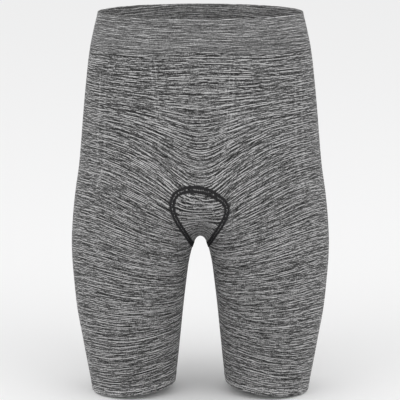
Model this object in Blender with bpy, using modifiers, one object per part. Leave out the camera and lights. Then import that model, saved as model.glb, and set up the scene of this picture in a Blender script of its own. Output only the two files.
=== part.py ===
"""Seamless cycling shorts, filled out as worn and open at the waist and both legs.

Metres, +Z up, the front faces -Y. The origin is the centre of the waist opening.
Every piece lies on one figure: two upright columns of elliptical section, mirrored in x = 0,
that are one at the waist and two below the crotch. A piece is a grid of points on the
figure, mirrored where the piece is symmetric and given a wall of real thickness inwards.
"""
import bpy
import numpy as np

NAME = "cycling_shorts"

# Sizes in metres
KNIT_WALL = 0.0013          # body, legs and gusset
WELT_WALL = 0.0020          # turned double edges
WELT_PROUD = 0.0003         # how far a turned edge stands out from the knit beside it
SEAM_GAP = 0.0003           # between neighbouring pieces
BAND_SIDE = 0.050           # waistband height at the sides and back
BAND_FRONT = 0.043          # waistband height at the front centre
HEM_LEVEL = 0.53375         # hem edge below the waist, mean of its inner and outer side
HEM_TILT = 0.00625          # the inner side is this much higher, the outer side lower
HEM_HEIGHT = 0.0120
DIVIDE_SIDE = 0.197         # depth at the side of the knit course where body and legs part

# Grid counts, on the right half
GUSSET_COLUMNS = 3          # centre line to shoulder, across the gusset
SHOULDER_COLUMNS = 2        # shoulder to widest point, along the gusset's edge
DIVIDE_COLUMNS = 18         # around the hip between the two widest points
INNER_COLUMNS = 18          # under the crotch between the two widest points
BAND_ROWS, BODY_ROWS, LEG_ROWS, HEM_ROWS = 3, 11, 15, 1

# The figure, in millimetres: depth below the waist, outer and inner half width of one column,
# reach to the front and to the back, and the width over which the two columns melt together.
# A negative inner value means that the columns overlap.
SECTIONS = np.array([
    # depth, outer, inner, front, back, blend
    (-20, 139.5, -139.5, 97.0, 91.0, 1),
    (0, 141.0, -141.0, 98.0, 93.0, 1),
    (25, 147.0, -146.5, 100.0, 98.0, 1),
    (50, 152.5, -146.5, 102.0, 104.0, 4),
    (100, 159.0, -134.0, 105.5, 117.0, 8),
    (150, 164.0, -112.0, 108.5, 127.0, 14),
    (190, 167.5, -88.0, 110.5, 131.0, 26),
    (220, 170.5, -66.0, 112.0, 131.0, 40),
    (250, 175.0, -44.5, 112.0, 127.5, 50),
    (270, 177.4, -27.5, 110.5, 123.5, 44),
    (290, 179.3, -9.5, 108.0, 118.5, 34),
    (305, 180.3, 0.8, 106.0, 114.5, 29),
    (316, 180.9, 6.2, 104.5, 111.5, 26),
    (330, 181.1, 10.6, 102.5, 107.5, 26),
    (350, 180.5, 15.4, 99.5, 102.5, 26),
    (380, 178.2, 19.6, 95.0, 96.0, 26),
    (420, 174.3, 24.2, 88.0, 89.0, 26),
    (460, 167.6, 28.2, 79.0, 81.0, 26),
    (500, 160.8, 32.3, 69.5, 72.5, 26),
    (530, 155.4, 35.8, 62.5, 66.0, 26),
    (560, 150.5, 39.5, 57.0, 61.0, 26),
]) / 1000

# Half outline of the gusset, in millimetres: distance along its centre line from the front
# end, under the crotch to the back end, and distance across from the centre line.
GUSSET_OUTLINE = np.array([
    # along, across
    (0, 0), (0.4, 9), (2, 16), (5.4, 23), (12.5, 33), (22, 37.8), (31, 37.3), (43, 34),
    (56, 30), (86, 23), (120, 18.3), (155, 17), (190, 20), (225, 27.5), (255, 34.5),
    (275, 37), (290, 35.5), (302, 29), (309, 20), (312.5, 10), (313.5, 0),
]) / 1000
FRONT_SHOULDER, FRONT_WIDEST, BACK_WIDEST, BACK_SHOULDER = 3, 5, 15, 18   # rows above
GUSSET_FRONT_DEPTH = 0.2296  # depth of the gusset's front end


def smooth_table(at, keys, values):
    """Cubic Hermite curve through the rows of a table; its slopes are weighted mean differences."""
    step = np.diff(keys)
    rise = np.diff(values, axis=0) / step[:, None]
    slope = np.vstack([rise[:1], (rise[:-1] * step[1:, None] + rise[1:] * step[:-1, None])
                       / (step[1:] + step[:-1])[:, None], rise[-1:]])
    at = np.asarray(at, float)
    i = np.clip(np.searchsorted(keys, at) - 1, 0, len(keys) - 2)
    width = step[i][..., None]
    t = ((at - keys[i]) / step[i])[..., None]
    return ((2 * t ** 3 - 3 * t ** 2 + 1) * values[i] + (t ** 3 - 2 * t ** 2 + t) * width * slope[i]
            + (3 * t ** 2 - 2 * t ** 3) * values[i + 1] + (t ** 3 - t ** 2) * width * slope[i + 1])


def column(depth):
    """Centre (x, y), half width, half length and blend width of the right column at a depth."""
    outer, inner, front, back, blend = np.moveaxis(
        smooth_table(depth, SECTIONS[:, 0], SECTIONS[:, 1:]), -1, 0)
    return ((outer + inner) / 2, (back - front) / 2, (outer - inner) / 2, (front + back) / 2,
            np.maximum(blend, 1e-4))


def figure(points):
    """Signed distance like value: below 0 inside the figure, 0 on its surface."""
    x, y, z = np.moveaxis(points, -1, 0)
    cx, cy, a, b, blend = column(-z)
    right = (np.hypot((x - cx) / a, (y - cy) / b) - 1) * a
    left = (np.hypot((x + cx) / a, (y - cy) / b) - 1) * a
    melt = np.maximum(blend - np.abs(right - left), 0) / blend
    return np.minimum(right, left) - melt ** 2 * blend / 4


def gradient(points, h=2e-4):
    steps = np.eye(3) * h
    return np.stack([(figure(points + s) - figure(points - s)) / (2 * h) for s in steps], -1)


def normal(points):
    g = gradient(points)
    return g / np.linalg.norm(g, axis=-1, keepdims=True)


def settle(points, rounds=5):
    """Points moved along the figure's gradient onto its surface."""
    for _ in range(rounds):
        g = gradient(points)
        points = points - figure(points)[..., None] * g / (g * g).sum(-1, keepdims=True)
    return points


def shoot(origin, direction, far=0.25):
    """Where rays from the figure's right half leave it; they stop at the mirror plane x = 0."""
    near_t = np.zeros(origin.shape[:-1])
    inward = np.maximum(-direction[..., 0], 1e-9)
    far_t = np.where(direction[..., 0] < -1e-9, np.minimum(far, origin[..., 0] / inward), far)
    for _ in range(40):
        middle = (near_t + far_t) / 2
        inside = figure(origin + direction * middle[..., None]) < 0
        near_t = np.where(inside, middle, near_t)
        far_t = np.where(inside, far_t, middle)
    return origin + direction * near_t[..., None]


def around(angle, depth):
    """Surface point level with the right column's axis; angle 0 is outward, -90 degrees is front."""
    cx, cy = column(depth)[:2]
    origin = np.stack([cx, cy, -depth], -1)
    return shoot(origin, np.stack([np.cos(angle), np.sin(angle), 0 * angle], -1))


def to_angle(points):
    """Angle and depth of surface points, as read by around()."""
    depth = -points[..., 2]
    cx, cy = column(depth)[:2]
    return np.arctan2(points[..., 1] - cy, points[..., 0] - cx), depth


def centre_line(count=241):
    """The figure's line in the plane x = 0, from the front under the crotch to the back."""
    turn = np.radians(np.linspace(-12, 192, count))
    origin = np.tile([0, 0.006, -0.232], (count, 1))
    return shoot(origin, np.stack([0 * turn, -np.cos(turn), -np.sin(turn)], -1))


def crotch_chart(reach=0.045, step=0.001):
    """Surface points reached by walking sideways from the centre line, square to it."""
    line = centre_line()
    tangent = np.gradient(line, axis=0)
    tangent /= np.linalg.norm(tangent, axis=1, keepdims=True)
    along = np.append(0, np.cumsum(np.linalg.norm(np.diff(line, axis=0), axis=1)))
    rows, here = [line], line
    for _ in range(round(reach / step)):
        side = np.cross(tangent, normal(here))
        side *= np.sign(side[:, :1])
        here = here + side / np.linalg.norm(side, axis=1, keepdims=True) * step
        for _ in range(2):
            g = gradient(here)
            g = g - (g * tangent).sum(1, keepdims=True) * tangent
            here = here - figure(here)[:, None] * g / (g * g).sum(1, keepdims=True)
        rows.append(here)
    start = np.interp(GUSSET_FRONT_DEPTH, -line[:60, 2], along[:60])
    return along - start, step, np.stack(rows, 1)


def from_chart(chart, flat):
    """Surface points for (along, across) pairs; a negative across is on the other side."""
    along, step, table = chart
    i = np.clip(np.searchsorted(along, flat[..., 0]) - 1, 0, len(along) - 2)
    across = np.abs(flat[..., 1]) / step
    j = np.clip(across.astype(int), 0, table.shape[1] - 2)
    u = ((flat[..., 0] - along[i]) / (along[i + 1] - along[i]))[..., None]
    v = (across - j)[..., None]
    points = ((table[i, j] * (1 - u) + table[i + 1, j] * u) * (1 - v)
              + (table[i, j + 1] * (1 - u) + table[i + 1, j + 1] * u) * v)
    points = settle(points)
    points[..., 0] = np.abs(points[..., 0]) * np.sign(flat[..., 1])
    return points


def edge_samples():
    """(along, across) of the vertices on the gusset's half outline, front to back."""
    length = np.append(0, np.cumsum(np.linalg.norm(np.diff(GUSSET_OUTLINE, axis=0), axis=1)))
    parts = [(0, FRONT_SHOULDER, GUSSET_COLUMNS), (FRONT_SHOULDER, FRONT_WIDEST, SHOULDER_COLUMNS),
             (FRONT_WIDEST, BACK_WIDEST, INNER_COLUMNS),
             (BACK_WIDEST, BACK_SHOULDER, SHOULDER_COLUMNS), (BACK_SHOULDER, -1, GUSSET_COLUMNS)]
    stops = np.concatenate([np.linspace(length[a], length[b], n + 1)[:-1] for a, b, n in parts])
    return smooth_table(np.append(stops, length[-1]), length, GUSSET_OUTLINE)


def grid_faces(rows, columns, closed=False):
    """Quads of a grid of points whose index is row * columns + column."""
    i, j = np.meshgrid(np.arange(rows - 1), np.arange(columns if closed else columns - 1),
                       indexing="ij")
    k = (j + 1) % columns
    return np.stack([i * columns + j, (i + 1) * columns + j, (i + 1) * columns + k,
                     i * columns + k], -1).reshape(-1, 4)


def free_edges(points, faces):
    """Directed edges of one face only, but not those where a half meets its mirror image."""
    edges = np.stack([faces, np.roll(faces, -1, axis=1)], -1).reshape(-1, 2)
    _, index, count = np.unique(np.sort(edges, axis=1), axis=0, return_inverse=True,
                                return_counts=True)
    return edges[(count[index.reshape(-1)] == 1) & (points[edges, 0].max(axis=1) > 1e-6)]


def drawn_in(points, faces):
    """The sheet with its free edges drawn in along the figure by half a seam gap."""
    out = normal(points)
    edges = free_edges(points, faces)
    run = points[edges[:, 1]] - points[edges[:, 0]]
    run /= np.linalg.norm(run, axis=1, keepdims=True)
    before, after = np.zeros_like(points), np.zeros_like(points)
    before[edges[:, 1]] = np.cross(out[edges[:, 1]], run)
    after[edges[:, 0]] = np.cross(out[edges[:, 0]], run)
    mitre = np.maximum(1 + (before * after).sum(1, keepdims=True), 0.4)
    moved = settle(points + (before + after) / mitre * SEAM_GAP / 2)
    moved[:, 0] = np.where(points[:, 0] < 1e-6, 0, moved[:, 0])
    return moved


def sag(angle, depth):
    """How far a course has sunk, from 0 at the side to 1 at the front or back centre."""
    cx, cy, a, b, blend = column(depth)
    inward = np.clip(1 - (cx + a * np.cos(angle)) / (cx + a), 0, 1)
    return np.sin(np.pi / 2 * inward) ** 3.6


def course(front, back, side_depth, count):
    """Angles and depths along a knit course, given its (angle, depth) at both ends."""
    angle = np.linspace(front[0], back[0], count + 1)
    end_angle = np.where(angle < 0, front[0], back[0])
    end_depth = np.where(angle < 0, front[1], back[1])
    middle = (side_depth + end_depth) / 2
    share = sag(angle, middle) / sag(end_angle, middle)
    return angle, side_depth + (end_depth - side_depth) * share


def centre_points(depth, turn):
    """Points on the front (turn -1) or back (turn 1) centre line at given depths."""
    cy = column(depth)[1]
    return shoot(np.stack([0 * depth, cy, -depth], -1), np.array([0.0, turn, 0]) + 0 * depth[:, None])


def body_half():
    """Right half of the body: a sheet between the waistband and a last row that follows the
    gusset's edge to its widest point, the dividing course, and the gusset's edge at the back."""
    n = GUSSET_COLUMNS + SHOULDER_COLUMNS
    edge_angle, edge_depth = to_angle(edge)
    last = course((edge_angle[n], edge_depth[n]), (edge_angle[-n - 1], edge_depth[-n - 1]),
                  DIVIDE_SIDE, DIVIDE_COLUMNS)
    low_angle = np.concatenate([edge_angle[:n], last[0], edge_angle[-n:]])
    low_depth = np.concatenate([edge_depth[:n], last[1], edge_depth[-n:]])
    top_angle, top_depth = course((-np.pi / 2, BAND_FRONT), (np.pi / 2, BAND_SIDE), BAND_SIDE,
                                  len(low_angle) - 1)
    down = np.linspace(0, 1, BODY_ROWS + 1)[:, None]
    depth = top_depth + (low_depth - top_depth) * down
    front, back = centre_points(depth[:, 0], -1), centre_points(depth[:, -1], 1)
    start, stop = to_angle(front)[0][:, None], to_angle(back)[0][:, None]
    low_share = (low_angle - low_angle[0]) / (low_angle[-1] - low_angle[0])
    share = np.linspace(0, 1, len(low_angle)) * (1 - down) + low_share * down
    points = around(start + (stop - start) * share, depth)
    points[:, 0], points[:, -1] = front, back
    points[-1, :n + 1], points[-1, -n - 1:] = edge[:n + 1], edge[-n - 1:]
    return points, top_depth, last


def band_half(low_depth):
    """Right half of the waistband, from its fold at the waist down to the body's first row."""
    down = np.linspace(0, 1, BAND_ROWS + 1)[:, None]
    depth = low_depth * down
    front, back = centre_points(depth[:, 0], -1), centre_points(depth[:, -1], 1)
    start, stop = to_angle(front)[0][:, None], to_angle(back)[0][:, None]
    points = around(start + (stop - start) * np.linspace(0, 1, depth.shape[1]), depth)
    points[:, 0], points[:, -1] = front, back
    return points


def hem_depth(angle):
    return HEM_LEVEL + HEM_TILT * np.cos(angle)


def leg_rings(divide):
    """Rings of the right leg, from the dividing course and the gusset's edge to the hem."""
    n = GUSSET_COLUMNS + SHOULDER_COLUMNS
    under = edge[n + 1:-n - 1][::-1]
    under_angle, under_depth = to_angle(under)
    top_angle = np.append(divide[0], under_angle % (2 * np.pi))
    top_depth = np.append(divide[1], under_depth)
    low_angle = top_angle[0] + np.arange(len(top_angle)) * 2 * np.pi / len(top_angle)
    down = np.linspace(0, 1, LEG_ROWS + 1)[:, None]
    angle = top_angle + (low_angle - top_angle) * (down * down * (3 - 2 * down))
    low_depth = hem_depth(low_angle) - HEM_HEIGHT
    points = around(angle, top_depth + (low_depth - top_depth) * down)
    points[0, DIVIDE_COLUMNS + 1:] = under
    points[0, 0], points[0, DIVIDE_COLUMNS] = edge[n], edge[-n - 1]
    return points, low_angle


def hem_rings(angle):
    share = np.linspace(0, 1, HEM_ROWS + 1)[:, None]
    depth = hem_depth(angle) - HEM_HEIGHT * (1 - share)
    return around(np.broadcast_to(angle, depth.shape), depth)


def gusset_half():
    """Right half of the gusset: a Coons patch between its ends, its side and its centre line."""
    n = GUSSET_COLUMNS
    half = edge_samples()
    front, back, side = half[:n + 1], half[:-n - 2:-1], half[n:len(half) - n]
    u = np.linspace(0, 1, n + 1)[None, :, None]
    v = np.linspace(0, 1, len(side))[:, None, None]
    reach = (side[:, 0] - side[0, 0]) / (side[-1, 0] - side[0, 0])
    middle = np.stack([reach * half[-1, 0], 0 * reach], -1)
    flat = ((1 - v) * front + v * back + (1 - u) * middle[:, None] + u * side[:, None]
            - (1 - u) * (1 - v) * front[0] - u * (1 - v) * front[-1]
            - (1 - u) * v * back[0] - u * v * back[-1])
    return from_chart(chart, flat)


def knit_material(name, grey, roughness):
    material = bpy.data.materials.new(name)
    material.use_nodes = True
    shader = material.node_tree.nodes["Principled BSDF"]
    shader.inputs["Base Color"].default_value = (grey, grey, grey * 1.01, 1)
    shader.inputs["Roughness"].default_value = roughness
    material.diffuse_color = (grey, grey, grey * 1.01, 1)
    return material


def add_piece(name, points, material, thickness, proud=0.0, tube=False, mirrored=False):
    """A sheet of points as an object: a tube, its mirror image, or a half that Mirror completes."""
    rows, columns = points.shape[:2]
    faces = grid_faces(rows, columns, closed=tube)
    points = drawn_in(points.reshape(-1, 3), faces)
    if mirrored:
        points, faces = points * (-1, 1, 1), faces[:, ::-1]
    mesh = bpy.data.meshes.new(name)
    mesh.from_pydata(points.tolist(), [], faces.tolist())
    mesh.materials.append(material)
    mesh.shade_smooth()
    piece = bpy.data.objects.new(name, mesh)
    collection.objects.link(piece)
    if not tube:
        mirror = piece.modifiers.new("Other half", "MIRROR")
        mirror.merge_threshold = 0.0001
    wall = piece.modifiers.new("Wall", "SOLIDIFY")
    wall.thickness = thickness
    wall.offset = 2 * proud / thickness - 1
    wall.use_even_offset = True
    wall.use_quality_normals = True


for thing in list(bpy.data.objects):
    bpy.data.objects.remove(thing, do_unlink=True)
collection = bpy.data.collections.new(NAME)
bpy.context.scene.collection.children.link(collection)
chart = crotch_chart()
edge = from_chart(chart, edge_samples())

body, band_depth, divide = body_half()
leg, low_angle = leg_rings(divide)
hem = hem_rings(low_angle)

# Waistband: double knit turned over at the waist
add_piece("waistband", band_half(band_depth),
          knit_material("knit_waistband", 0.17, 0.85), WELT_WALL, WELT_PROUD)

# Body: the seamless hip tube
add_piece("body", body, knit_material("knit_body", 0.18, 0.85), KNIT_WALL)

# Legs: two tubes that carry on from the body's last course and from the gusset's sides
leg_material = knit_material("knit_legs", 0.18, 0.85)
add_piece("leg_left", leg, leg_material, KNIT_WALL, tube=True)
add_piece("leg_right", leg, leg_material, KNIT_WALL, tube=True, mirrored=True)

# Gusset: the oval panel that closes the crotch
add_piece("gusset", gusset_half(), knit_material("knit_gusset", 0.16, 0.85), KNIT_WALL)

# Hem welts: double knit turned up at each leg opening
hem_material = knit_material("knit_hems", 0.17, 0.85)
add_piece("hem_left", hem, hem_material, WELT_WALL, WELT_PROUD, tube=True)
add_piece("hem_right", hem, hem_material, WELT_WALL, WELT_PROUD, tube=True, mirrored=True)
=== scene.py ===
"""Seamless cycling shorts in grey melange knit, filled out as worn."""

import bmesh
import bpy
import numpy as np
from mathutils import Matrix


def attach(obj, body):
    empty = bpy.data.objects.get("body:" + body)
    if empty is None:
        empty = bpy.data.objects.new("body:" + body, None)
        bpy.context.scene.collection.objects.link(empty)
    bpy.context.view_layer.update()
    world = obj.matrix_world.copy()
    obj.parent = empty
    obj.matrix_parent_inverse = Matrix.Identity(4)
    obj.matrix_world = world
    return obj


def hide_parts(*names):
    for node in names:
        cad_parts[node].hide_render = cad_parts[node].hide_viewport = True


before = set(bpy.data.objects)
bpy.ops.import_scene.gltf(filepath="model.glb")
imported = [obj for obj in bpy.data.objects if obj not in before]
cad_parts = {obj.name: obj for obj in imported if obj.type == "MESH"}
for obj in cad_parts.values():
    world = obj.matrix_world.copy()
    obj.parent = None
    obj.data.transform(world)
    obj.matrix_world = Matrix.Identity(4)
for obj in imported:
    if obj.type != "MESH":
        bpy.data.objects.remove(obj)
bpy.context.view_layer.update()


# Body and legs
# One seamless circular knit in grey melange yarn, 1.3 mm thick, that is split below the hips
# into two legs. It is knitted on to the waistband and hems, and a gusset closes the crotch.
KNIT_WALL = 0.0013
BAND_SIDE, BAND_FRONT = 0.050, 0.043      # waistband height at the sides and front centre
HEM_LEVEL, HEM_TILT, HEM_HEIGHT = 0.53375, 0.00625, 0.0120
DIVIDE_SIDE = 0.197                       # depth at the side of the course where the legs part
END_COLUMNS, SHOULDER_COLUMNS, DIVIDE_COLUMNS, INNER_COLUMNS = 12, 8, 64, 64
BODY_ROWS, LEG_ROWS = 44, 56
SAG_POWER, FALL_POWER = 3.6, 18           # how sharply the courses sink towards their ends

# The figure, in millimetres: depth below the waist, outer and inner half width of one column,
# reach to the front and to the back, and the width over which the two columns melt together.
SECTIONS = np.array([
    # depth, outer, inner, front, back, blend
    (-20, 139.5, -139.5, 97.0, 91.0, 1),
    (0, 141.0, -141.0, 98.0, 93.0, 1),
    (25, 147.0, -146.5, 100.0, 98.0, 1),
    (50, 152.5, -146.5, 102.0, 104.0, 4),
    (100, 159.0, -134.0, 105.5, 117.0, 8),
    (150, 164.0, -112.0, 108.5, 127.0, 14),
    (190, 167.5, -88.0, 110.5, 131.0, 26),
    (220, 170.5, -66.0, 112.0, 131.0, 40),
    (250, 175.0, -44.5, 112.0, 127.5, 50),
    (270, 177.4, -27.5, 110.5, 123.5, 44),
    (290, 179.3, -9.5, 108.0, 118.5, 34),
    (305, 180.3, 0.8, 106.0, 114.5, 29),
    (316, 180.9, 6.2, 104.5, 111.5, 26),
    (330, 181.1, 10.6, 102.5, 107.5, 26),
    (350, 180.5, 15.4, 99.5, 102.5, 26),
    (380, 178.2, 19.6, 95.0, 96.0, 26),
    (420, 174.3, 24.2, 88.0, 89.0, 26),
    (460, 167.6, 28.2, 79.0, 81.0, 26),
    (500, 160.8, 32.3, 69.5, 72.5, 26),
    (530, 155.4, 35.8, 62.5, 66.0, 26),
    (560, 150.5, 39.5, 57.0, 61.0, 26),
]) / 1000

# Half outline of the gusset, in millimetres from its front end along its centre line, and
# across from that line.
GUSSET_OUTLINE = np.array([
    # along, across
    (0, 0), (0.4, 9), (2, 16), (5.4, 23), (12.5, 33), (22, 37.8), (31, 37.3), (43, 34),
    (56, 30), (86, 23), (120, 18.3), (155, 17), (190, 20), (225, 27.5), (255, 34.5),
    (275, 37), (290, 35.5), (302, 29), (309, 20), (312.5, 10), (313.5, 0),
]) / 1000
FRONT_SHOULDER, FRONT_WIDEST, BACK_WIDEST, BACK_SHOULDER = 3, 5, 15, 18
GUSSET_FRONT_DEPTH = 0.2296

# How the knit courses run: in millimetres, a course's depth at the side, where it ends at the
# front and at the back centre or on the inner side of the leg, and how far it falls more just
# before that; then its slope at the side, down towards the back, and the power of its bell.
COURSES = np.array([
    # side, front, back, fall, tilt, power
    (-10, -9, -10, 0, 0.10, 4.0),
    (50, 45, 50, 0, 0.07, 4.0),
    (100, 101, 108, 0, 0.06, 4.5),
    (130, 146, 149, 6, 0.06, 4.6),
    (160, 196, 193, 15, 0.08, 4.0),
    (190, 231, 225, 25, 0.10, 3.2),
    (230, 267, 267, 24, 0.14, 2.7),
    (260, 295, 298, 10, 0.18, 2.4),
    (300, 325, 324, 6, 0.18, 2.5),
    (360, 366, 363, 7, 0.22, 2.6),
    (450, 435, 437, 0, 0.23, 2.6),
    (500, 473, 473, 0, 0.24, 2.5),
    (570, 560, 556, 0, 0.24, 2.5),
]) * (0.001, 0.001, 0.001, 0.001, 1, 1)

# Where the panel's front corners lean, in millimetres
PANEL_LEAN = np.array([
    # centre, shift
    ((-30, -110, -236), (-2.5, 0, 4.2)),
    ((22, -110, -234), (1.0, 0, -4.4)),
    ((38, -108, -250), (-2.2, 0, -2.2)),
]) / 1000
LEAN_SPREAD = 0.013                       # standard deviation of a lean's bell


def smooth_table(at, keys, values):
    """Cubic Hermite curve through the rows of a table; its slopes are weighted mean differences."""
    step = np.diff(keys)
    rise = np.diff(values, axis=0) / step[:, None]
    slope = np.vstack([rise[:1], (rise[:-1] * step[1:, None] + rise[1:] * step[:-1, None])
                       / (step[1:] + step[:-1])[:, None], rise[-1:]])
    at = np.asarray(at, float)
    i = np.clip(np.searchsorted(keys, at) - 1, 0, len(keys) - 2)
    width = step[i][..., None]
    t = ((at - keys[i]) / step[i])[..., None]
    return ((2 * t ** 3 - 3 * t ** 2 + 1) * values[i] + (t ** 3 - 2 * t ** 2 + t) * width * slope[i]
            + (3 * t ** 2 - 2 * t ** 3) * values[i + 1] + (t ** 3 - t ** 2) * width * slope[i + 1])


def column(depth):
    """Centre (x, y), half width, half length and blend width of the right column at a depth."""
    outer, inner, front, back, blend = np.moveaxis(
        smooth_table(depth, SECTIONS[:, 0], SECTIONS[:, 1:]), -1, 0)
    return ((outer + inner) / 2, (back - front) / 2, (outer - inner) / 2, (front + back) / 2,
            np.maximum(blend, 1e-4))


def figure(points):
    """A value like a distance, below 0 inside: the smooth least of two elliptical columns'."""
    x, y, z = np.moveaxis(points, -1, 0)
    cx, cy, a, b, blend = column(-z)
    right = (np.hypot((x - cx) / a, (y - cy) / b) - 1) * a
    left = (np.hypot((x + cx) / a, (y - cy) / b) - 1) * a
    melt = np.maximum(blend - np.abs(right - left), 0) / blend
    return np.minimum(right, left) - melt ** 2 * blend / 4


def gradient(points, h=2e-4):
    """Central differences of the figure's value along x, y and z."""
    steps = np.eye(3) * h
    return np.stack([(figure(points + s) - figure(points - s)) / (2 * h) for s in steps], -1)


def normal(points):
    """The figure's gradient brought to length 1."""
    g = gradient(points)
    return g / np.linalg.norm(g, axis=-1, keepdims=True)


def settle(points, rounds=5):
    """Newton steps along the figure's gradient until the points are on its surface."""
    for _ in range(rounds):
        g = gradient(points)
        points = points - figure(points)[..., None] * g / (g * g).sum(-1, keepdims=True)
    return points


def shoot(origin, direction, far=0.25):
    """Where rays leave the figure's right half, by halving; they stop at the plane x = 0."""
    near_t = np.zeros(origin.shape[:-1])
    inward = np.maximum(-direction[..., 0], 1e-9)
    far_t = np.where(direction[..., 0] < -1e-9, np.minimum(far, origin[..., 0] / inward), far)
    for _ in range(34):
        middle = (near_t + far_t) / 2
        inside = figure(origin + direction * middle[..., None]) < 0
        near_t = np.where(inside, middle, near_t)
        far_t = np.where(inside, far_t, middle)
    return origin + direction * near_t[..., None]


def around(angle, depth):
    """Surface point level with the right column's axis; angle 0 is outward, -90 degrees is front."""
    cx, cy = column(depth)[:2]
    origin = np.stack([cx, cy, -depth], -1)
    return shoot(origin, np.stack([np.cos(angle), np.sin(angle), 0 * angle], -1))


def to_angle(points):
    """Angle and depth of surface points, as read by around()."""
    depth = -points[..., 2]
    cx, cy = column(depth)[:2]
    return np.arctan2(points[..., 1] - cy, points[..., 0] - cx), depth


def crotch_chart(reach=0.045, step=0.001, count=241):
    """Surface points reached by walking sideways, in even steps, from the line in x = 0."""
    turn = np.radians(np.linspace(-12, 192, count))
    origin = np.tile([0, 0.006, -0.232], (count, 1))
    line = shoot(origin, np.stack([0 * turn, -np.cos(turn), -np.sin(turn)], -1))
    tangent = np.gradient(line, axis=0)
    tangent /= np.linalg.norm(tangent, axis=1, keepdims=True)
    along = np.append(0, np.cumsum(np.linalg.norm(np.diff(line, axis=0), axis=1)))
    rows, here = [line], line
    for _ in range(round(reach / step)):
        side = np.cross(tangent, normal(here))
        side *= np.sign(side[:, :1])
        here = here + side / np.linalg.norm(side, axis=1, keepdims=True) * step
        for _ in range(2):
            g = gradient(here)
            g = g - (g * tangent).sum(1, keepdims=True) * tangent
            here = here - figure(here)[:, None] * g / (g * g).sum(1, keepdims=True)
        rows.append(here)
    start = np.interp(GUSSET_FRONT_DEPTH, -line[:60, 2], along[:60])
    return along - start, step, np.stack(rows, 1)


def from_chart(flat):
    """Surface points for (along, across) pairs; a negative across is on the other side."""
    along, step, table = chart
    i = np.clip(np.searchsorted(along, flat[..., 0]) - 1, 0, len(along) - 2)
    across = np.abs(flat[..., 1]) / step
    j = np.clip(across.astype(int), 0, table.shape[1] - 2)
    u = ((flat[..., 0] - along[i]) / (along[i + 1] - along[i]))[..., None]
    v = (across - j)[..., None]
    points = ((table[i, j] * (1 - u) + table[i + 1, j] * u) * (1 - v)
              + (table[i, j + 1] * (1 - u) + table[i + 1, j + 1] * u) * v)
    points = settle(points)
    points[..., 0] = np.abs(points[..., 0]) * np.sign(flat[..., 1])
    return points


def edge_samples():
    """(along, across) of the cloth's vertices on the gusset's half outline, front to back."""
    length = np.append(0, np.cumsum(np.linalg.norm(np.diff(GUSSET_OUTLINE, axis=0), axis=1)))
    parts = [(0, FRONT_SHOULDER, END_COLUMNS), (FRONT_SHOULDER, FRONT_WIDEST, SHOULDER_COLUMNS),
             (FRONT_WIDEST, BACK_WIDEST, INNER_COLUMNS),
             (BACK_WIDEST, BACK_SHOULDER, SHOULDER_COLUMNS), (BACK_SHOULDER, -1, END_COLUMNS)]
    stops = np.concatenate([np.linspace(length[a], length[b], n + 1)[:-1] for a, b, n in parts])
    return smooth_table(np.append(stops, length[-1]), length, GUSSET_OUTLINE)


def grid_faces(rows, columns, closed=False):
    """Quads of a grid of points whose index is row * columns + column."""
    i, j = np.meshgrid(np.arange(rows - 1), np.arange(columns if closed else columns - 1),
                       indexing="ij")
    k = (j + 1) % columns
    return np.stack([i * columns + j, (i + 1) * columns + j, (i + 1) * columns + k,
                     i * columns + k], -1).reshape(-1, 4)


def ring_faces(rows, columns):
    """Quads of a grid that is closed both ways."""
    return grid_faces(rows + 1, columns, closed=True) % (rows * columns)


def sag(angle, depth):
    """How far a course has sunk, from 0 at the side to 1 at the front or back centre."""
    cx, _, a = column(depth)[:3]
    inward = np.clip(1 - (cx + a * np.cos(angle)) / (cx + a), 0, 1)
    return np.sin(np.pi / 2 * inward) ** SAG_POWER


def course(front, back, side_depth, count):
    """Angles and depths along a knit course, given its (angle, depth) at both ends."""
    angle = np.linspace(front[0], back[0], count + 1)
    end_angle = np.where(angle < 0, front[0], back[0])
    end_depth = np.where(angle < 0, front[1], back[1])
    middle = (side_depth + end_depth) / 2
    share = sag(angle, middle) / sag(end_angle, middle)
    return angle, side_depth + (end_depth - side_depth) * share


def centre_points(depth, turn):
    """Points on the front (turn -1) or back (turn 1) centre line at given depths."""
    cy = column(depth)[1]
    return shoot(np.stack([0 * depth, cy, -depth], -1), np.array([0.0, turn, 0]) + 0 * depth[:, None])


def half_round(depth, share):
    """Right half of a tube: rows at given depths, with columns at even or given shares of it."""
    front, back = centre_points(depth[:, 0], -1), centre_points(depth[:, -1], 1)
    start, stop = to_angle(front)[0][:, None], to_angle(back)[0][:, None]
    points = around(start + (stop - start) * share, depth)
    points[:, 0], points[:, -1] = front, back
    return points


def body_half():
    """Rows from the waistband's lower edge to one that follows the gusset's edge to its widest
    point, the dividing course, and the gusset's edge at the back."""
    n = END_COLUMNS + SHOULDER_COLUMNS
    edge_angle, edge_depth = to_angle(edge)
    last = course((edge_angle[n], edge_depth[n]), (edge_angle[-n - 1], edge_depth[-n - 1]),
                  DIVIDE_SIDE, DIVIDE_COLUMNS)
    low_angle = np.concatenate([edge_angle[:n], last[0], edge_angle[-n:]])
    low_depth = np.concatenate([edge_depth[:n], last[1], edge_depth[-n:]])
    top_depth = course((-np.pi / 2, BAND_FRONT), (np.pi / 2, BAND_SIDE), BAND_SIDE,
                       len(low_angle) - 1)[1]
    down = np.linspace(0, 1, BODY_ROWS + 1)[:, None]
    low_share = (low_angle - low_angle[0]) / (low_angle[-1] - low_angle[0])
    share = np.linspace(0, 1, len(low_angle)) * (1 - down) + low_share * down
    points = half_round(top_depth + (low_depth - top_depth) * down, share)
    points[-1, :n + 1], points[-1, -n - 1:] = edge[:n + 1], edge[-n - 1:]
    return points, top_depth, last


def hem_depth(angle):
    """Depth of the hem's fold: a level, lower on the outer side and higher on the inner side."""
    return HEM_LEVEL + HEM_TILT * np.cos(angle)


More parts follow.
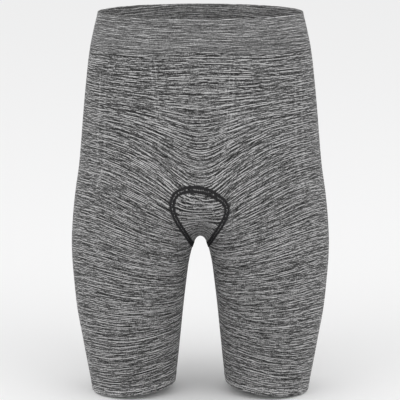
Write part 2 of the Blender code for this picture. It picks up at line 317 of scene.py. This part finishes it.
def leg_rings(divide):
    """Rings of the right leg, from the dividing course and the gusset's edge to the hem."""
    n = END_COLUMNS + SHOULDER_COLUMNS
    under = edge[n + 1:-n - 1][::-1]
    under_angle, under_depth = to_angle(under)
    top_angle = np.append(divide[0], under_angle % (2 * np.pi))
    top_depth = np.append(divide[1], under_depth)
    low_angle = top_angle[0] + np.arange(len(top_angle)) * 2 * np.pi / len(top_angle)
    down = np.linspace(0, 1, LEG_ROWS + 1)[:, None]
    angle = top_angle + (low_angle - top_angle) * (down * down * (3 - 2 * down))
    points = around(angle, top_depth + (hem_depth(low_angle) - HEM_HEIGHT - top_depth) * down)
    points[0, DIVIDE_COLUMNS + 1:] = under
    points[0, 0], points[0, DIVIDE_COLUMNS] = edge[n], edge[-n - 1]
    return points, low_angle


def lean(points):
    """Surface points drawn a little to one side near the gusset's front corners, as the real
    panel is sewn in slightly out of true: a sum of bell-shaped shifts, then back to the surface."""
    for centre, shift in PANEL_LEAN:
        bell = np.exp(-((points - centre) ** 2).sum(-1, keepdims=True) / (2 * LEAN_SPREAD ** 2))
        points = points + bell * shift
    return settle(points, 3)


def course_through(points):
    """Side depth of the course through each point, by halving. From that depth a course goes to
    its end's as a power of the bell sin(90 degrees * inward), where inward is 0 at the side and 1
    at the end; it falls with a high power of the bell, and tilts with (1 - inward) squared."""
    x, y, depth = np.abs(points[..., 0]), points[..., 1], -points[..., 2]
    cx, cy, a = column(depth)[:3]
    inner = np.maximum(cx - a, 0)
    inward = np.clip((cx + a - x) / (cx + a - inner), 0, 1)
    bell = np.sin(np.pi / 2 * inward)
    lever = (y - cy) * (1 - inward) ** 2
    behind = np.clip((y - cy) / 0.04 + 0.5, 0, 1)
    near_s, far_s = 0 * depth - 0.03, 0 * depth + 0.60
    for _ in range(22):
        side = (near_s + far_s) / 2
        front, back, fall, tilt, power = np.moveaxis(
            smooth_table(side, COURSES[:, 0], COURSES[:, 1:]), -1, 0)
        end = front + (back - front) * behind
        above = (side + (end - side) * bell ** power + fall * bell ** FALL_POWER
                 + tilt * lever < depth)
        near_s, far_s = np.where(above, side, near_s), np.where(above, far_s, side)
    return (near_s + far_s) / 2


def course_spread(points, h=5e-4):
    """Distance on the surface for one unit of side depth: 1 over the tangential gradient."""
    out = normal(points)
    g = np.stack([course_through(points + s) - course_through(points - s)
                  for s in np.eye(3) * h], -1) / (2 * h)
    g = g - (g * out).sum(-1, keepdims=True) * out
    return 1 / np.maximum(np.linalg.norm(g, axis=-1), 0.2)


def new_value(mesh, name, values):
    """A number for each vertex, which materials read by its name."""
    mesh.attributes.new(name, "FLOAT", "POINT").data.foreach_set(
        "value", np.asarray(values, np.float32))


def cloth_object(name, points, faces, **values):
    """A sheet or closed shell of cloth as an object at the origin, its doubles merged.
    values are numbers for each point, kept as attributes."""
    mesh = bpy.data.meshes.new(name)
    mesh.from_pydata(points.tolist(), [], faces.tolist())
    for key, numbers in values.items():
        new_value(mesh, key, numbers)
    soft = bmesh.new()
    soft.from_mesh(mesh)
    bmesh.ops.remove_doubles(soft, verts=soft.verts, dist=2e-5)
    soft.to_mesh(mesh)
    soft.free()
    mesh.shade_smooth()
    cloth = bpy.data.objects.new(name, mesh)
    bpy.context.scene.collection.objects.link(cloth)
    return cloth


def mark_courses(cloth):
    """The course and the course spread at each of the cloth's vertices, as attributes."""
    place = np.empty(len(cloth.data.vertices) * 3)
    cloth.data.vertices.foreach_get("co", place)
    place = place.reshape(-1, 3)
    new_value(cloth.data, "course", course_through(place))
    new_value(cloth.data, "spread", course_spread(place))


def both_halves(points, faces):
    """The right half with its mirror image in x = 0, whose faces are turned round."""
    return (np.vstack([points, points * (-1, 1, 1)]),
            np.vstack([faces, faces[:, ::-1] + len(points)]))


def give_wall(cloth, thickness):
    """The cloth's thickness, inwards, and the reverse of the knit as its second material."""
    wall = cloth.modifiers.new("Wall", "SOLIDIFY")
    wall.thickness = thickness
    wall.offset = -1
    wall.use_even_offset = True
    wall.use_quality_normals = True
    wall.material_offset = 1


def node_at(tree, kind, *links, **settings):
    """A shader node with its settings made; links are (input, value or output socket) pairs."""
    node = tree.nodes.new(kind)
    for key, value in settings.items():
        setattr(node, key, value)
    for key, value in links:
        if isinstance(value, bpy.types.NodeSocket):
            tree.links.new(value, node.inputs[key])
        else:
            node.inputs[key].default_value = value
    return node


def sums(tree, operation, *values):
    """Output of a Math node for values or sockets."""
    return node_at(tree, "ShaderNodeMath", *enumerate(values), operation=operation).outputs[0]


def new_group(name, inputs, outputs):
    """An empty shader node group with float inputs (name, default) and named outputs."""
    group = bpy.data.node_groups.new(name, "ShaderNodeTree")
    for label, value in inputs:
        socket = group.interface.new_socket(label, in_out="INPUT", socket_type="NodeSocketFloat")
        socket.default_value = value
    for label, kind in outputs:
        group.interface.new_socket(label, in_out="OUTPUT", socket_type=kind)
    return group, group.nodes.new("NodeGroupInput"), group.nodes.new("NodeGroupOutput")


NEXT_COURSE_SHARE = 0.6                   # how much of the next course's noise is taken off
COURSE_JUMP = (1.37, 2.71, 1.93)          # from one course's noise to the next one's


def streak_group():
    """Noise drawn out along the knit courses. Where Rows is 1, each course has its own noise, less
    a share of the next course's, so that light and dark courses alternate. Courses stay as thick
    on the cloth where they fan out, because two scales, a factor 2 apart, are mixed by the course
    spread's logarithm."""
    group, given, made = new_group(
        "course streaks", [("Length", 0.016), ("Thickness", 0.002), ("Seed", 0.0), ("Detail", 1.0),
                           ("Rows", 1.0)],
        [("Value", "NodeSocketFloat")])
    place = node_at(group, "ShaderNodeTexCoord").outputs["Object"]
    side = node_at(group, "ShaderNodeAttribute", attribute_name="course").outputs["Fac"]
    spread = node_at(group, "ShaderNodeAttribute", attribute_name="spread").outputs["Fac"]
    stretched = node_at(group, "ShaderNodeVectorMath", (0, place), operation="SCALE")
    group.links.new(sums(group, "DIVIDE", 1.0, given.outputs["Length"]), stretched.inputs["Scale"])
    level = sums(group, "LOGARITHM", spread, 2.0)
    low = sums(group, "FLOOR", level)
    mix = sums(group, "SUBTRACT", level, low)
    rows = sums(group, "DIVIDE", side, given.outputs["Thickness"])
    values = []
    for octave in (0.0, 1.0):
        step = sums(group, "ADD", low, octave)
        w = sums(group, "MULTIPLY", rows, sums(group, "POWER", 2.0, step))
        row = sums(group, "MULTIPLY", sums(group, "FLOOR", w), given.outputs["Rows"])
        w = sums(group, "MULTIPLY", w, sums(group, "SUBTRACT", 1.0, given.outputs["Rows"]))
        w = sums(group, "ADD", w, sums(group, "MULTIPLY_ADD", step, 7.31, given.outputs["Seed"]))
        noises = []
        for ahead in (0.0, 1.0):
            jump = node_at(group, "ShaderNodeVectorMath", (0, COURSE_JUMP), operation="SCALE")
            group.links.new(sums(group, "ADD", row, ahead), jump.inputs["Scale"])
            moved = node_at(group, "ShaderNodeVectorMath", (0, stretched.outputs[0]),
                            (1, jump.outputs[0]))
            noise = node_at(group, "ShaderNodeTexNoise", ("Vector", moved.outputs[0]), ("W", w),
                            ("Scale", 1.0), ("Detail", given.outputs["Detail"]),
                            ("Roughness", 0.55), noise_dimensions="4D")
            noises.append(sums(group, "SUBTRACT", noise.outputs["Fac"], 0.5))
        next_share = sums(group, "MULTIPLY", given.outputs["Rows"], -NEXT_COURSE_SHARE)
        values.append(sums(group, "MULTIPLY_ADD", noises[1], next_share, noises[0]))
    first = sums(group, "MULTIPLY", values[0], sums(group, "SUBTRACT", 1.0, mix))
    both = sums(group, "MULTIPLY_ADD", values[1], mix, first)
    power = sums(group, "MULTIPLY_ADD", mix, mix,
                 sums(group, "POWER", sums(group, "SUBTRACT", 1.0, mix), 2.0))
    value = sums(group, "DIVIDE", both, sums(group, "SQRT", power))
    group.links.new(value, made.inputs["Value"])
    return group


def knit_group(streaks):
    """Melange yarn: a shade from long streaks, fine streaks, broad patches and single loops,
    and a height for the bump that follows the finest of them."""
    group, given, made = new_group(
        "melange knit", [("Middle", 0.475), ("Contrast", 2.1), ("Length", 0.026),
                         ("Thickness", 0.0011), ("Patch", 0.05), ("Loops", 0.4)],
        [("Shade", "NodeSocketFloat"), ("Height", "NodeSocketFloat")])
    layers = (
        # length, thickness, rows, seed, detail, weight
        (1.0, 1.0, 1.0, 0.0, 0.0, 0.7), (0.3, 1.0, 1.0, 31.7, 0.0, 0.65),
        (3.5, 1.0, 1.0, 13.3, 0.0, 0.6), (2.0, 6.0, 0.0, 77.1, 1.0, given.outputs["Patch"]),
    )
    parts = []
    for length, thickness, rows, seed, detail, weight in layers:
        node = node_at(group, "ShaderNodeGroup", node_tree=streaks)
        group.links.new(sums(group, "MULTIPLY", given.outputs["Length"], length),
                        node.inputs["Length"])
        group.links.new(sums(group, "MULTIPLY", given.outputs["Thickness"], thickness),
                        node.inputs["Thickness"])
        node.inputs["Seed"].default_value = seed
        node.inputs["Detail"].default_value = detail
        node.inputs["Rows"].default_value = rows
        parts.append(sums(group, "MULTIPLY", node.outputs[0], weight))
    place = node_at(group, "ShaderNodeTexCoord").outputs["Object"]
    grain = node_at(group, "ShaderNodeTexNoise", ("Vector", place), ("Scale", 650.0),
                    ("Detail", 0.0))
    loops = sums(group, "MULTIPLY", sums(group, "SUBTRACT", grain.outputs["Fac"], 0.5),
                 given.outputs["Loops"])
    total = sums(group, "ADD", sums(group, "ADD", parts[0], parts[1]),
                 sums(group, "ADD", sums(group, "ADD", parts[2], parts[3]), loops))
    shade = sums(group, "MULTIPLY_ADD", total, given.outputs["Contrast"], given.outputs["Middle"])
    group.links.new(shade, made.inputs["Shade"])
    group.links.new(sums(group, "ADD", sums(group, "ADD", parts[1], loops), 0.5),
                    made.inputs["Height"])
    return group


def ladder_group():
    """Two lines of lighter loops that run down the knit side by side: a mask from the distance
    to them, counted in columns of loops, between a top and a bottom course."""
    group, given, made = new_group(
        "ladder", [("Wale", 0.2), ("Gap", 0.010), ("Width", 0.004), ("Top", 0.06),
                   ("Bottom", 0.15), ("Side", 1.0)], [("Mask", "NodeSocketFloat")])
    wale = node_at(group, "ShaderNodeAttribute", attribute_name="wale").outputs["Fac"]
    side = node_at(group, "ShaderNodeAttribute", attribute_name="course").outputs["Fac"]
    apart = sums(group, "ABSOLUTE", sums(group, "SUBTRACT", wale, given.outputs["Wale"]))
    apart = sums(group, "ABSOLUTE", sums(group, "SUBTRACT", apart, given.outputs["Gap"]))
    line = node_at(group, "ShaderNodeMapRange", ("Value", apart), ("From Min", 0.0),
                   ("To Min", 1.0), ("To Max", 0.0), interpolation_type="SMOOTHSTEP")
    group.links.new(given.outputs["Width"], line.inputs["From Max"])
    mask = line.outputs["Result"]
    for name, before, after in (("Top", -0.008, 0.004), ("Bottom", 0.030, -0.010)):
        fade = node_at(group, "ShaderNodeMapRange", ("Value", side),
                       interpolation_type="SMOOTHSTEP")
        group.links.new(sums(group, "ADD", given.outputs[name], before), fade.inputs["From Min"])
        group.links.new(sums(group, "ADD", given.outputs[name], after), fade.inputs["From Max"])
        mask = sums(group, "MULTIPLY", mask, fade.outputs["Result"])
    place = node_at(group, "ShaderNodeTexCoord").outputs["Object"]
    across = node_at(group, "ShaderNodeSeparateXYZ", (0, place)).outputs["X"]
    here = sums(group, "GREATER_THAN", sums(group, "MULTIPLY", across, given.outputs["Side"]), 0.0)
    mask = sums(group, "MULTIPLY", mask, here)
    group.links.new(mask, made.inputs["Mask"])
    return group


# Ladders: place, half distance and half width of the lines as shares of the way from the front
# centre to the back centre, then the courses where they end, and the body side
LADDERS = (
    # wale, gap, width, top, bottom, side
    (0.130, 0.0085, 0.0050, 0.062, 0.140, 1),
    (0.190, 0.0085, 0.0050, 0.058, 0.130, -1),
    (0.375, 0.0105, 0.0050, 0.090, 0.240, 1),
    (0.375, 0.0105, 0.0050, 0.090, 0.240, -1),
)
LADDER_STRENGTH = 0.16
YARN_GREYS = ((0.0, 0.005), (0.25, 0.024), (0.5, 0.086), (0.75, 0.21), (1.0, 0.38))


def knit_material(name, tone=1.0, ladders=(), **given):
    """Matte melange knit: the knit group's shade through a ramp from near black to light grey,
    with every grey multiplied by tone; on the waistband's inner face and the gusset, tone also
    holds painted light and shade. given are values for the knit group's inputs."""
    material = bpy.data.materials.new(name)
    material.use_nodes = True
    tree = material.node_tree
    shader = tree.nodes["Principled BSDF"]
    knit = node_at(tree, "ShaderNodeGroup", node_tree=melange,
                   *[(key.replace("_", " ").capitalize(), value) for key, value in given.items()])
    shade = knit.outputs["Shade"]
    for numbers in ladders:
        mask = node_at(tree, "ShaderNodeGroup", *zip(
            ("Wale", "Gap", "Width", "Top", "Bottom", "Side"), numbers), node_tree=ladder)
        shade = sums(tree, "MULTIPLY_ADD", mask.outputs[0], LADDER_STRENGTH, shade)
    ramp = node_at(tree, "ShaderNodeValToRGB", ("Fac", shade))
    while len(ramp.color_ramp.elements) < len(YARN_GREYS):
        ramp.color_ramp.elements.new(0.5)
    for stop, (position, grey) in zip(ramp.color_ramp.elements, YARN_GREYS):
        stop.position = position
        stop.color = (grey * tone * 1.004, grey * tone, grey * tone * 1.002, 1)
    tree.links.new(ramp.outputs["Color"], shader.inputs["Base Color"])
    raised = node_at(tree, "ShaderNodeBump", ("Height", knit.outputs["Height"]),
                     ("Strength", 0.35), ("Distance", 0.0006))
    tree.links.new(raised.outputs["Normal"], shader.inputs["Normal"])
    shader.inputs["Roughness"].default_value = 0.86
    shader.inputs["Specular IOR Level"].default_value = 0.25
    shader.inputs["Sheen Weight"].default_value = 0.08
    shader.inputs["Sheen Roughness"].default_value = 0.5
    return material


chart = crotch_chart()
edge = from_chart(edge_samples())
body, band_depth, divide = body_half()
leg, low_angle = leg_rings(divide)
half_points = np.vstack([body.reshape(-1, 3), leg.reshape(-1, 3)])
half_faces = np.vstack([grid_faces(*body.shape[:2]),
                        grid_faces(*leg.shape[:2], closed=True) + body.shape[0] * body.shape[1]])
columns = body.shape[1]
body_wale = np.broadcast_to(np.linspace(0, 1, columns), body.shape[:2])
leg_wale = (np.arange(leg.shape[1]) + END_COLUMNS + SHOULDER_COLUMNS) / (columns - 1)
wale = np.append(body_wale, np.broadcast_to(leg_wale, leg.shape[:2]))
points, faces = both_halves(half_points, half_faces)
melange, ladder = knit_group(streak_group()), ladder_group()
body_and_legs = cloth_object("body_and_legs_cloth", lean(points), faces, wale=np.tile(wale, 2))
mark_courses(body_and_legs)
body_and_legs.data.materials.append(knit_material("melange_body", tone=1.25, ladders=LADDERS))
body_and_legs.data.materials.append(knit_material("melange_body_inside"))
give_wall(body_and_legs, KNIT_WALL)
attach(body_and_legs, "root")
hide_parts("body", "leg_left", "leg_right")


# Waistband
# A turned double welt, 2 mm thick, of the same yarn in a finer and denser knit. It is knitted
# on to the body, folded over at the waist and closed inside, so its fold is round.
WELT_WALL, WELT_PROUD = 0.0020, 0.0003


def welt_profile(height, rows, fold=0.0010, lip=0.0006, turns=6):
    """Closed section of a turned edge: distances from its fold, in the unit of height, and
    offsets from the figure. It goes along the outer face to the fold, round the fold, back along
    the inner face and round the lip."""
    middle = WELT_PROUD - WELT_WALL / 2
    turn = np.linspace(0, np.pi, turns + 1)
    face = np.linspace(1, 0, rows + 1)[1:-1] * (height - fold - lip) + fold
    down = np.concatenate([face, fold - fold * np.sin(turn), face[::-1],
                           height - lip + lip * np.sin(turn)])
    out = np.concatenate([0 * face + WELT_PROUD, middle + WELT_WALL / 2 * np.cos(turn),
                          0 * face + WELT_PROUD - WELT_WALL,
                          middle - WELT_WALL / 2 * np.cos(turn)])
    return down, out


def line_inside(cloth):
    """Gives the cloth's second material to the faces that lie inside its middle surface."""
    faces = cloth.data.polygons
    centre = np.empty(len(faces) * 3)
    faces.foreach_get("center", centre)
    inside = figure(centre.reshape(-1, 3)) < WELT_PROUD - WELT_WALL / 2
    faces.foreach_set("material_index", inside.astype(np.int32))


down, out = welt_profile(1.0, 14, fold=0.02, lip=0.014)
band = half_round(band_depth * down[:, None], np.linspace(0, 1, len(band_depth)))
band = band + normal(band) * out[:, None, None]
band = np.concatenate([band, band[:, -2:0:-1] * (-1, 1, 1)], axis=1)
band_faces = ring_faces(*band.shape[:2])[:, ::-1]
waistband = cloth_object("waistband_cloth", band.reshape(-1, 3), band_faces)
mark_courses(waistband)
waistband.data.materials.append(
    knit_material("melange_waistband", tone=1.6, contrast=1.15, thickness=0.0009))
# The inner face is the same yarn as the outer face, with its greys lifted by half as much again:
# painted light, standing in for light that hardly reaches into the band.
waistband.data.materials.append(
    knit_material("melange_waistband_inside_painted_light", tone=2.4, contrast=1.2, thickness=0.0009))
line_inside(waistband)
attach(waistband, "root")
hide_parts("waistband")


# Gusset
# An oval crotch panel cut from the same knit and set in flat, edge to edge with the body and
# legs, from the lower front under the crotch to the seat.
GUSSET_COURSE_RISE = 11.0     # how much a course curves up towards the panel's sides, per metre


def gusset_flat():
    """A Coons patch, in (along, across), between the panel's ends, its side and centre line."""
    n = END_COLUMNS
    half = edge_samples()
    front, back, side = half[:n + 1], half[:-n - 2:-1], half[n:len(half) - n]
    u = np.linspace(0, 1, n + 1)[None, :, None]
    v = np.linspace(0, 1, len(side))[:, None, None]
    reach = (side[:, 0] - side[0, 0]) / (side[-1, 0] - side[0, 0])
    middle = np.stack([reach * half[-1, 0], 0 * reach], -1)
    return ((1 - v) * front + v * back + (1 - u) * middle[:, None] + u * side[:, None]
            - (1 - u) * (1 - v) * front[0] - u * (1 - v) * front[-1]
            - (1 - u) * v * back[0] - u * v * back[-1])


flat = gusset_flat()
panel = from_chart(flat)
points, faces = both_halves(panel.reshape(-1, 3), grid_faces(*panel.shape[:2]))
gusset_course = (flat[..., 0] + GUSSET_COURSE_RISE * flat[..., 1] ** 2).reshape(-1)
gusset = cloth_object("gusset_cloth", lean(points), faces, course=np.tile(gusset_course, 2),
                      spread=np.ones(len(points)))
# The panel's greys are 0.9 of the body's, though it is the same knit: painted shade, standing for the
# shade under the crotch where the panel faces down.
gusset.data.materials.append(
    knit_material("melange_gusset", tone=1.12, contrast=3.3, thickness=0.0017))
gusset.data.materials.append(knit_material("melange_gusset_inside", tone=0.9))
give_wall(gusset, KNIT_WALL)
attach(gusset, "root")
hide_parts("gusset")


# Hem welts
# The knit turned up at each leg opening and closed inside, 12 mm tall and 2 mm thick, with a
# round fold below.
up, out = welt_profile(HEM_HEIGHT, 5)
hem_knit = knit_material("melange_hems", tone=1.48, contrast=2.6)
for side, name in ((1, "left"), (-1, "right")):
    ring = np.broadcast_to(low_angle, (len(up), len(low_angle)))
    hem = around(ring, hem_depth(ring) - up[:, None])
    hem = hem + normal(hem) * out[:, None, None]
    faces = ring_faces(*hem.shape[:2])
    hem_cloth = cloth_object(f"hem_{name}_cloth", hem.reshape(-1, 3) * (side, 1, 1),
                             faces if side > 0 else faces[:, ::-1])
    mark_courses(hem_cloth)
    hem_cloth.data.materials.append(hem_knit)
    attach(hem_cloth, "root")
    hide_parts(f"hem_{name}")


# Flatlock sewing
# Black polyamide thread that joins the gusset edge to edge: four rows of needle stitches on
# two dense thread rails, with two looper threads that cross from side to side over them.
STITCH = 0.0046               # length of two needle stitches, in which a looper goes out and back
STITCH_POINTS = 12            # steps of each thread in that length
RAIL_ASIDE, RAIL_HALF_WIDTH = 0.0021, 0.00145
NEEDLE_ASIDE = (0.0014, 0.0030)
LOOPER_REACH = 0.0038
ROWS_INSIDE = (-0.0027, -0.0009, 0.0009, 0.0027)      # how far aside the rows lie on the inside


def outline_loop(count):
    """Even steps round the panel's whole outline, in (along, across), and its length: the half
    outline and its mirror image, smoothed as one closed curve."""
    outline = np.vstack([GUSSET_OUTLINE, (GUSSET_OUTLINE * (1, -1))[-2::-1]])
    length = np.append(0, np.cumsum(np.linalg.norm(np.diff(outline, axis=0), axis=1)))
    wide = np.vstack([outline[-4:-1], outline, outline[1:4]])
    keys = np.concatenate([length[-4:-1] - length[-1], length, length[1:4] + length[-1]])
    at = np.linspace(0, length[-1], count, endpoint=False)
    return at, smooth_table(at, keys, wide), length[-1]


def seam_frame(count):
    """Points along the seam with the figure's normal and the direction across the seam."""
    at, flat_line, total = outline_loop(count)
    flat_line[np.abs(flat_line[:, 1]) < 1e-6, 1] = 1e-6
    line = lean(from_chart(flat_line))
    out = normal(line)
    run = np.roll(line, -1, axis=0) - np.roll(line, 1, axis=0)
    across = np.cross(run / np.linalg.norm(run, axis=1, keepdims=True), out)
    return at / total, line, out, across / np.linalg.norm(across, axis=1, keepdims=True)


def thread(line, out, across, aside, height, wide, tall, sides=5):
    """A closed tube along the seam: its axis is moved aside and out by given amounts, and an oval
    of given half width and half height is turned square to it."""
    steady = np.ones((len(line), 1))
    axis = line + across * (aside * steady.T).T + out * (height * steady.T).T
    run = np.roll(axis, -1, axis=0) - np.roll(axis, 1, axis=0)
    side = np.cross(run, out)
    side /= np.linalg.norm(side, axis=1, keepdims=True)
    up = np.cross(side, run)
    up /= np.linalg.norm(up, axis=1, keepdims=True)
    turn = np.arange(sides) * 2 * np.pi / sides
    ring = (axis[:, None] + side[:, None] * (np.cos(turn) * (wide * steady))[..., None]
            + up[:, None] * (np.sin(turn) * (tall * steady))[..., None])
    return ring.reshape(-1, 3), ring_faces(len(line), sides)


def join(parts):
    """Several (points, faces) pairs as one."""
    shift = np.cumsum([0] + [len(p) for p, f in parts[:-1]])
    return np.vstack([p for p, f in parts]), np.vstack([f + s for (p, f), s in zip(parts, shift)])


stitches = round(outline_loop(8)[2] / STITCH)
share, *seam = seam_frame(stitches * STITCH_POINTS)
phase = share * stitches * 2 * np.pi
bead = np.abs(np.sin(phase))[:, None]
# The seam is wider across the panel's front end, where share is near 0 or 1.
stretch = 0.95 + 0.60 * np.exp(-(np.minimum(share, 1 - share) / 0.05) ** 2)
threads = []
for way in (-1, 1):
    threads.append(thread(*seam, way * RAIL_ASIDE * stretch, 0.0,
                          RAIL_HALF_WIDTH * stretch[:, None], 0.00030, sides=8))
    for aside in NEEDLE_ASIDE:
        threads.append(thread(*seam, way * aside * stretch, 0.00020 + 0.00012 * bead[:, 0],
                              0.00018 + 0.00014 * bead, 0.00016 + 0.00012 * bead))
    threads.append(thread(*seam, way * LOOPER_REACH * stretch * np.sin(phase),
                          0.00040 + way * 0.00008 * np.cos(phase), 0.00034, 0.00020))
seam = seam_frame(stitches * 2)[1:]
inside = [thread(*seam, aside, -KNIT_WALL - 0.0001, 0.00085, 0.00042) for aside in ROWS_INSIDE]

black = bpy.data.materials.new("flatlock_thread")
black.use_nodes = True
tree = black.node_tree
spun = node_at(tree, "ShaderNodeTexNoise", ("Scale", 900.0), ("Detail", 2.0),
               ("Vector", node_at(tree, "ShaderNodeTexCoord").outputs["Object"]))
ramp = node_at(tree, "ShaderNodeValToRGB", ("Fac", spun.outputs["Fac"]))
ramp.color_ramp.elements[0].position, ramp.color_ramp.elements[1].position = 0.3, 0.75
ramp.color_ramp.elements[0].color = (0.005, 0.005, 0.006, 1)
ramp.color_ramp.elements[1].color = (0.034, 0.033, 0.035, 1)
tree.links.new(ramp.outputs["Color"], tree.nodes["Principled BSDF"].inputs["Base Color"])
tree.nodes["Principled BSDF"].inputs["Roughness"].default_value = 0.75
tree.nodes["Principled BSDF"].inputs["Specular IOR Level"].default_value = 0.3
for name, parts in (("flatlock", threads), ("flatlock_inside", inside)):
    sewing = cloth_object(name, *join(parts))
    sewing.data.materials.append(black)
    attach(sewing, "root")


# Studio
# A pale floor, soft even light from all round and above, and the camera of the photograph,
# 3 m in front and a little above the waist.
FLOOR_LEVEL, FLOOR_REACH = -0.5402, 60

floor_mesh = bpy.data.meshes.new("floor")
floor_mesh.from_pydata([(x * FLOOR_REACH, y * FLOOR_REACH, FLOOR_LEVEL)
                        for x, y in ((-1, -1), (1, -1), (1, 1), (-1, 1))], [], [(0, 1, 2, 3)])
floor = bpy.data.objects.new("floor", floor_mesh)
bpy.context.scene.collection.objects.link(floor)
pale = bpy.data.materials.new("pale_floor")
pale.use_nodes = True
pale_shader = pale.node_tree.nodes["Principled BSDF"]
pale_shader.inputs["Base Color"].default_value = (0.91, 0.91, 0.912, 1)
pale_shader.inputs["Roughness"].default_value = 1.0
pale_shader.inputs["Specular IOR Level"].default_value = 0.0
floor.data.materials.append(pale)

world = bpy.data.worlds.new("soft_room")
world.use_nodes = True
world.node_tree.nodes["Background"].inputs["Color"].default_value = (1, 1, 1, 1)
world.node_tree.nodes["Background"].inputs["Strength"].default_value = 0.92
bpy.context.scene.world = world


def soft_light(name, spot, target, size, power):
    """A square area light that faces a target point."""
    lamp = bpy.data.lights.new(name, "AREA")
    lamp.size, lamp.energy = size, power
    holder = bpy.data.objects.new(name, lamp)
    holder.location = spot
    way = np.array(target) - np.array(spot)
    holder.rotation_euler = (np.arccos(-way[2] / np.linalg.norm(way)), 0,
                             np.arctan2(way[1], way[0]) - np.pi / 2)
    bpy.context.scene.collection.objects.link(holder)


for name, side in (("left_light", 1), ("right_light", -1)):
    soft_light(name, (side * 2.4, -2.2, 1.8), (0, 0, -0.15), 2.6, 25)

lens = bpy.data.cameras.new("camera")
lens.sensor_width, lens.lens = 36.0, 196.4
lens.clip_end = 100
camera = bpy.data.objects.new("camera", lens)
camera.location = (-0.00055, -3.0, 0.347)
camera.rotation_euler = (np.radians(90 - 11.55), 0, 0)
bpy.context.scene.collection.objects.link(camera)
bpy.context.scene.camera = camera
bpy.context.scene.view_settings.view_transform = "Standard"
